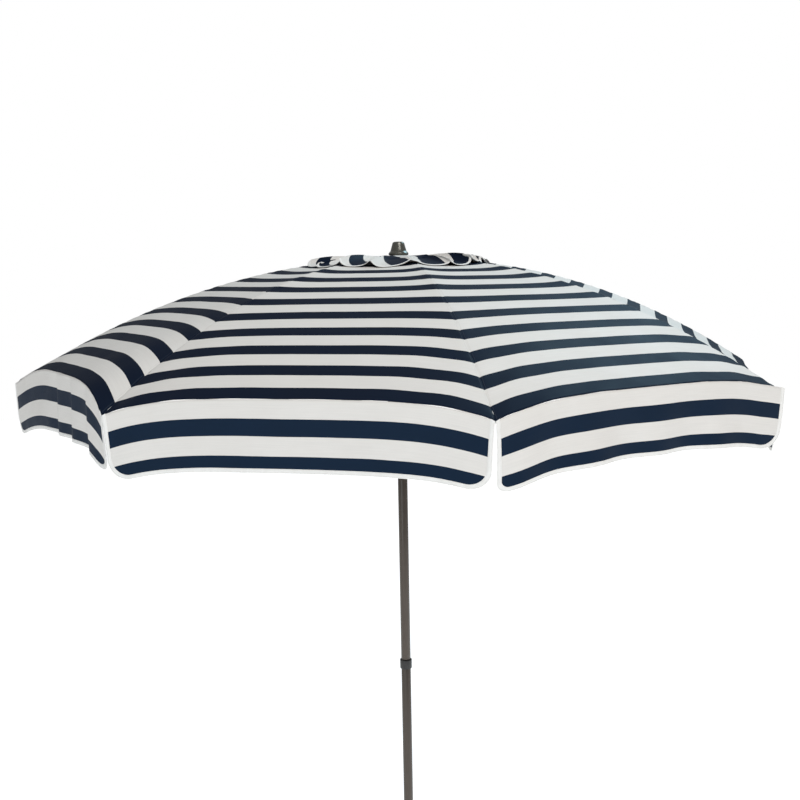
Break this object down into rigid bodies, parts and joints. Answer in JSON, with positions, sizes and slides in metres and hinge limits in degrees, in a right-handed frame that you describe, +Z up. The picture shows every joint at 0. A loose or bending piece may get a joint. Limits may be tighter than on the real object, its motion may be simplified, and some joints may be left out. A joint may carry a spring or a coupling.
{
  "type": "patio umbrella with base",
  "caption": "Push-up garden umbrella with a striped, panelled cloth canopy, hanging valance, ruffled vent cap, tilting pole and round cast base.",
  "frame": {"origin": "on the floor, on the pole's axis, under the middle of the base", "axes": "+Z up along the pole; +X through one rib and through the base's clamp knob"},
  "size_m": [2.4006, 2.4006, 2.3436],
  "materials": {
    "canopy_cloth": "woven outdoor acrylic, navy and white stripes",
    "bronze_pole": "dark bronze powder coat, satin",
    "rib_steel": "dark bronze powder coat, satin",
    "hub_plastic": "moulded, matte",
    "dark_plastic": "moulded, dark grey bronze",
    "zinc_steel": "zinc plated",
    "base_iron": "cast, powder coated dark bronze",
    "rubber": "black, matte"
  },
  "bodies": {
    "base": {"base_weight": "base_iron", "base_socket": "base_iron", "base_liner": "dark_plastic", "base_nut": "zinc_steel", "base_foot_1": "rubber", "base_foot_2": "rubber", "base_foot_3": "rubber", "base_foot_4": "rubber"},
    "knob": {"base_knob": "dark_plastic"},
    "pole": {"lower_pole": "bronze_pole", "pole_plug": "dark_plastic", "pole_collar": "dark_plastic"},
    "upper": {"upper_pole": "bronze_pole", "tilt_fork": "bronze_pole", "tilt_pin": "zinc_steel", "tilt_spring": "zinc_steel"},
    "tilt_button": {"tilt_button": "dark_plastic"},
    "mast": {"mast_tube": "bronze_pole", "tilt_tongue": "bronze_pole", "crown_hub": "hub_plastic", "crown_ring": "zinc_steel", "crown_washer": "zinc_steel", "finial": "dark_plastic", "vent_cap": "canopy_cloth"},
    "runner": {"runner_hub": "hub_plastic", "runner_sleeve": "dark_plastic"},
    "runner_button": {"runner_button": "zinc_steel"},
    "rib_1": {"rib_1": "rib_steel"},
    "strut_1": {"strut_1": "rib_steel"},
    "panel_1": {"canopy_panel_1": "canopy_cloth"},
    "flap_1": {"valance_1": "canopy_cloth"},
    "rib_2": {"rib_2": "rib_steel"},
    "strut_2": {"strut_2": "rib_steel"},
    "panel_2": {"canopy_panel_2": "canopy_cloth"},
    "flap_2": {"valance_2": "canopy_cloth"},
    "rib_3": {"rib_3": "rib_steel"},
    "strut_3": {"strut_3": "rib_steel"},
    "panel_3": {"canopy_panel_3": "canopy_cloth"},
    "flap_3": {"valance_3": "canopy_cloth"},
    "rib_4": {"rib_4": "rib_steel"},
    "strut_4": {"strut_4": "rib_steel"},
    "panel_4": {"canopy_panel_4": "canopy_cloth"},
    "flap_4": {"valance_4": "canopy_cloth"},
    "rib_5": {"rib_5": "rib_steel"},
    "strut_5": {"strut_5": "rib_steel"},
    "panel_5": {"canopy_panel_5": "canopy_cloth"},
    "flap_5": {"valance_5": "canopy_cloth"},
    "rib_6": {"rib_6": "rib_steel"},
    "strut_6": {"strut_6": "rib_steel"},
    "panel_6": {"canopy_panel_6": "canopy_cloth"},
    "flap_6": {"valance_6": "canopy_cloth"},
    "rib_7": {"rib_7": "rib_steel"},
    "strut_7": {"strut_7": "rib_steel"},
    "panel_7": {"canopy_panel_7": "canopy_cloth"},
    "flap_7": {"valance_7": "canopy_cloth"},
    "rib_8": {"rib_8": "rib_steel"},
    "strut_8": {"strut_8": "rib_steel"},
    "panel_8": {"canopy_panel_8": "canopy_cloth"},
    "flap_8": {"valance_8": "canopy_cloth"}
  },
  "joints": [
    {"name": "knob_turn", "type": "hinge", "parent": "base", "child": "knob", "pos_m": [0.035, 0, 0.295], "axis": [1, 0, 0], "continuous": true},
    {"name": "pole_lift", "type": "slide", "parent": "base", "child": "pole", "axis": [0, 0, 1], "range_m": [0, 0.2]},
    {"name": "pole_swivel", "type": "hinge", "parent": "pole", "child": "upper", "pos_m": [0, 0, 0.942], "axis": [0, 0, 1], "continuous": true},
    {"name": "tilt_press", "type": "slide", "parent": "upper", "child": "tilt_button", "axis": [-1, 0, 0], "range_m": [0, 0.0014], "stiffness_N_per_m": 900, "springref_m": -0.002, "deforming": ["tilt_spring"]},
    {"name": "canopy_tilt", "type": "hinge", "parent": "upper", "child": "mast", "pos_m": [0, 0, 1.692], "axis": [0, 1, 0], "range_deg": [0, 35]},
    {"name": "runner_slide", "type": "slide", "parent": "mast", "child": "runner", "axis": [0, 0, 1], "range_m": [-0.7558, 0], "deforming": ["vent_cap", "canopy_panel_1", "valance_1", "canopy_panel_2", "valance_2", "canopy_panel_3", "valance_3", "canopy_panel_4", "valance_4", "canopy_panel_5", "valance_5", "canopy_panel_6", "valance_6", "canopy_panel_7", "valance_7", "canopy_panel_8", "valance_8"]},
    {"name": "runner_press", "type": "slide", "parent": "runner", "child": "runner_button", "axis": [-0.9239, -0.3827, 0], "range_m": [0, 0.0012], "stiffness_N_per_m": 900, "springref_m": -0.002},
    {"name": "rib_fold_1", "type": "hinge", "parent": "mast", "child": "rib_1", "pos_m": [0.02996, 0, 2.28504], "axis": [0, 1, 0], "range_deg": [-0.05, 69.89]},
    {"name": "strut_fold_1", "type": "hinge", "parent": "rib_1", "child": "strut_1", "pos_m": [0.585, 0, 2.19425], "axis": [0, 1, 0], "range_deg": [-117.89, 0.05]},
    {"name": "panel_fold_1", "type": "hinge", "parent": "mast", "child": "panel_1", "pos_m": [0.02768, 0.01147, 2.28504], "axis": [-0.3827, 0.9239, 0], "range_deg": [-0.05, 69.89]},
    {"name": "flap_hang_1", "type": "hinge", "parent": "panel_1", "child": "flap_1", "pos_m": [1.02242, 0.4235, 1.9637], "axis": [-0.3827, 0.9239, 0], "range_deg": [-69.89, 0.05]},
    {"name": "rib_fold_2", "type": "hinge", "parent": "mast", "child": "rib_2", "pos_m": [0.02119, 0.02119, 2.28504], "axis": [-0.7071, 0.7071, 0], "range_deg": [-0.05, 69.89]},
    {"name": "strut_fold_2", "type": "hinge", "parent": "rib_2", "child": "strut_2", "pos_m": [0.41366, 0.41366, 2.19425], "axis": [-0.7071, 0.7071, 0], "range_deg": [-117.89, 0.05]},
    {"name": "panel_fold_2", "type": "hinge", "parent": "mast", "child": "panel_2", "pos_m": [0.01147, 0.02768, 2.28504], "axis": [-0.9239, 0.3827, 0], "range_deg": [-0.05, 69.89]},
    {"name": "flap_hang_2", "type": "hinge", "parent": "panel_2", "child": "flap_2", "pos_m": [0.4235, 1.02242, 1.9637], "axis": [-0.9239, 0.3827, 0], "range_deg": [-69.89, 0.05]},
    {"name": "rib_fold_3", "type": "hinge", "parent": "mast", "child": "rib_3", "pos_m": [0, 0.02996, 2.28504], "axis": [-1, 0, 0], "range_deg": [-0.05, 69.89]},
    {"name": "strut_fold_3", "type": "hinge", "parent": "rib_3", "child": "strut_3", "pos_m": [0, 0.585, 2.19425], "axis": [-1, 0, 0], "range_deg": [-117.89, 0.05]},
    {"name": "panel_fold_3", "type": "hinge", "parent": "mast", "child": "panel_3", "pos_m": [-0.01147, 0.02768, 2.28504], "axis": [-0.9239, -0.3827, 0], "range_deg": [-0.05, 69.89]},
    {"name": "flap_hang_3", "type": "hinge", "parent": "panel_3", "child": "flap_3", "pos_m": [-0.4235, 1.02242, 1.9637], "axis": [-0.9239, -0.3827, 0], "range_deg": [-69.89, 0.05]},
    {"name": "rib_fold_4", "type": "hinge", "parent": "mast", "child": "rib_4", "pos_m": [-0.02119, 0.02119, 2.28504], "axis": [-0.7071, -0.7071, 0], "range_deg": [-0.05, 69.89]},
    {"name": "strut_fold_4", "type": "hinge", "parent": "rib_4", "child": "strut_4", "pos_m": [-0.41366, 0.41366, 2.19425], "axis": [-0.7071, -0.7071, 0], "range_deg": [-117.89, 0.05]},
    {"name": "panel_fold_4", "type": "hinge", "parent": "mast", "child": "panel_4", "pos_m": [-0.02768, 0.01147, 2.28504], "axis": [-0.3827, -0.9239, 0], "range_deg": [-0.05, 69.89]},
    {"name": "flap_hang_4", "type": "hinge", "parent": "panel_4", "child": "flap_4", "pos_m": [-1.02242, 0.4235, 1.9637], "axis": [-0.3827, -0.9239, 0], "range_deg": [-69.89, 0.05]},
    {"name": "rib_fold_5", "type": "hinge", "parent": "mast", "child": "rib_5", "pos_m": [-0.02996, 0, 2.28504], "axis": [0, -1, 0], "range_deg": [-0.05, 69.89]},
    {"name": "strut_fold_5", "type": "hinge", "parent": "rib_5", "child": "strut_5", "pos_m": [-0.585, 0, 2.19425], "axis": [0, -1, 0], "range_deg": [-117.89, 0.05]},
    {"name": "panel_fold_5", "type": "hinge", "parent": "mast", "child": "panel_5", "pos_m": [-0.02768, -0.01147, 2.28504], "axis": [0.3827, -0.9239, 0], "range_deg": [-0.05, 69.89]},
    {"name": "flap_hang_5", "type": "hinge", "parent": "panel_5", "child": "flap_5", "pos_m": [-1.02242, -0.4235, 1.9637], "axis": [0.3827, -0.9239, 0], "range_deg": [-69.89, 0.05]},
    {"name": "rib_fold_6", "type": "hinge", "parent": "mast", "child": "rib_6", "pos_m": [-0.02119, -0.02119, 2.28504], "axis": [0.7071, -0.7071, 0], "range_deg": [-0.05, 69.89]},
    {"name": "strut_fold_6", "type": "hinge", "parent": "rib_6", "child": "strut_6", "pos_m": [-0.41366, -0.41366, 2.19425], "axis": [0.7071, -0.7071, 0], "range_deg": [-117.89, 0.05]},
    {"name": "panel_fold_6", "type": "hinge", "parent": "mast", "child": "panel_6", "pos_m": [-0.01147, -0.02768, 2.28504], "axis": [0.9239, -0.3827, 0], "range_deg": [-0.05, 69.89]},
    {"name": "flap_hang_6", "type": "hinge", "parent": "panel_6", "child": "flap_6", "pos_m": [-0.4235, -1.02242, 1.9637], "axis": [0.9239, -0.3827, 0], "range_deg": [-69.89, 0.05]},
    {"name": "rib_fold_7", "type": "hinge", "parent": "mast", "child": "rib_7", "pos_m": [0, -0.02996, 2.28504], "axis": [1, 0, 0], "range_deg": [-0.05, 69.89]},
    {"name": "strut_fold_7", "type": "hinge", "parent": "rib_7", "child": "strut_7", "pos_m": [0, -0.585, 2.19425], "axis": [1, 0, 0], "range_deg": [-117.89, 0.05]},
    {"name": "panel_fold_7", "type": "hinge", "parent": "mast", "child": "panel_7", "pos_m": [0.01147, -0.02768, 2.28504], "axis": [0.9239, 0.3827, 0], "range_deg": [-0.05, 69.89]},
    {"name": "flap_hang_7", "type": "hinge", "parent": "panel_7", "child": "flap_7", "pos_m": [0.4235, -1.02242, 1.9637], "axis": [0.9239, 0.3827, 0], "range_deg": [-69.89, 0.05]},
    {"name": "rib_fold_8", "type": "hinge", "parent": "mast", "child": "rib_8", "pos_m": [0.02119, -0.02119, 2.28504], "axis": [0.7071, 0.7071, 0], "range_deg": [-0.05, 69.89]},
    {"name": "strut_fold_8", "type": "hinge", "parent": "rib_8", "child": "strut_8", "pos_m": [0.41366, -0.41366, 2.19425], "axis": [0.7071, 0.7071, 0], "range_deg": [-117.89, 0.05]},
    {"name": "panel_fold_8", "type": "hinge", "parent": "mast", "child": "panel_8", "pos_m": [0.02768, -0.01147, 2.28504], "axis": [0.3827, 0.9239, 0], "range_deg": [-0.05, 69.89]},
    {"name": "flap_hang_8", "type": "hinge", "parent": "panel_8", "child": "flap_8", "pos_m": [1.02242, -0.4235, 1.9637], "axis": [0.3827, 0.9239, 0], "range_deg": [-69.89, 0.05]}
  ],
  "couplings": [
    {"joint": "rib_fold_1", "follows": "runner_slide", "rad_per_m": -1.6128},
    {"joint": "strut_fold_1", "follows": "runner_slide", "rad_per_m": 2.7212},
    {"joint": "panel_fold_1", "follows": "runner_slide", "rad_per_m": -1.6128},
    {"joint": "flap_hang_1", "follows": "runner_slide", "rad_per_m": 1.6128},
    {"joint": "rib_fold_2", "follows": "runner_slide", "rad_per_m": -1.6128},
    {"joint": "strut_fold_2", "follows": "runner_slide", "rad_per_m": 2.7212},
    {"joint": "panel_fold_2", "follows": "runner_slide", "rad_per_m": -1.6128},
    {"joint": "flap_hang_2", "follows": "runner_slide", "rad_per_m": 1.6128},
    {"joint": "rib_fold_3", "follows": "runner_slide", "rad_per_m": -1.6128},
    {"joint": "strut_fold_3", "follows": "runner_slide", "rad_per_m": 2.7212},
    {"joint": "panel_fold_3", "follows": "runner_slide", "rad_per_m": -1.6128},
    {"joint": "flap_hang_3", "follows": "runner_slide", "rad_per_m": 1.6128},
    {"joint": "rib_fold_4", "follows": "runner_slide", "rad_per_m": -1.6128},
    {"joint": "strut_fold_4", "follows": "runner_slide", "rad_per_m": 2.7212},
    {"joint": "panel_fold_4", "follows": "runner_slide", "rad_per_m": -1.6128},
    {"joint": "flap_hang_4", "follows": "runner_slide", "rad_per_m": 1.6128},
    {"joint": "rib_fold_5", "follows": "runner_slide", "rad_per_m": -1.6128},
    {"joint": "strut_fold_5", "follows": "runner_slide", "rad_per_m": 2.7212},
    {"joint": "panel_fold_5", "follows": "runner_slide", "rad_per_m": -1.6128},
    {"joint": "flap_hang_5", "follows": "runner_slide", "rad_per_m": 1.6128},
    {"joint": "rib_fold_6", "follows": "runner_slide", "rad_per_m": -1.6128},
    {"joint": "strut_fold_6", "follows": "runner_slide", "rad_per_m": 2.7212},
    {"joint": "panel_fold_6", "follows": "runner_slide", "rad_per_m": -1.6128},
    {"joint": "flap_hang_6", "follows": "runner_slide", "rad_per_m": 1.6128},
    {"joint": "rib_fold_7", "follows": "runner_slide", "rad_per_m": -1.6128},
    {"joint": "strut_fold_7", "follows": "runner_slide", "rad_per_m": 2.7212},
    {"joint": "panel_fold_7", "follows": "runner_slide", "rad_per_m": -1.6128},
    {"joint": "flap_hang_7", "follows": "runner_slide", "rad_per_m": 1.6128},
    {"joint": "rib_fold_8", "follows": "runner_slide", "rad_per_m": -1.6128},
    {"joint": "strut_fold_8", "follows": "runner_slide", "rad_per_m": 2.7212},
    {"joint": "panel_fold_8", "follows": "runner_slide", "rad_per_m": -1.6128},
    {"joint": "flap_hang_8", "follows": "runner_slide", "rad_per_m": 1.6128}
  ]
}
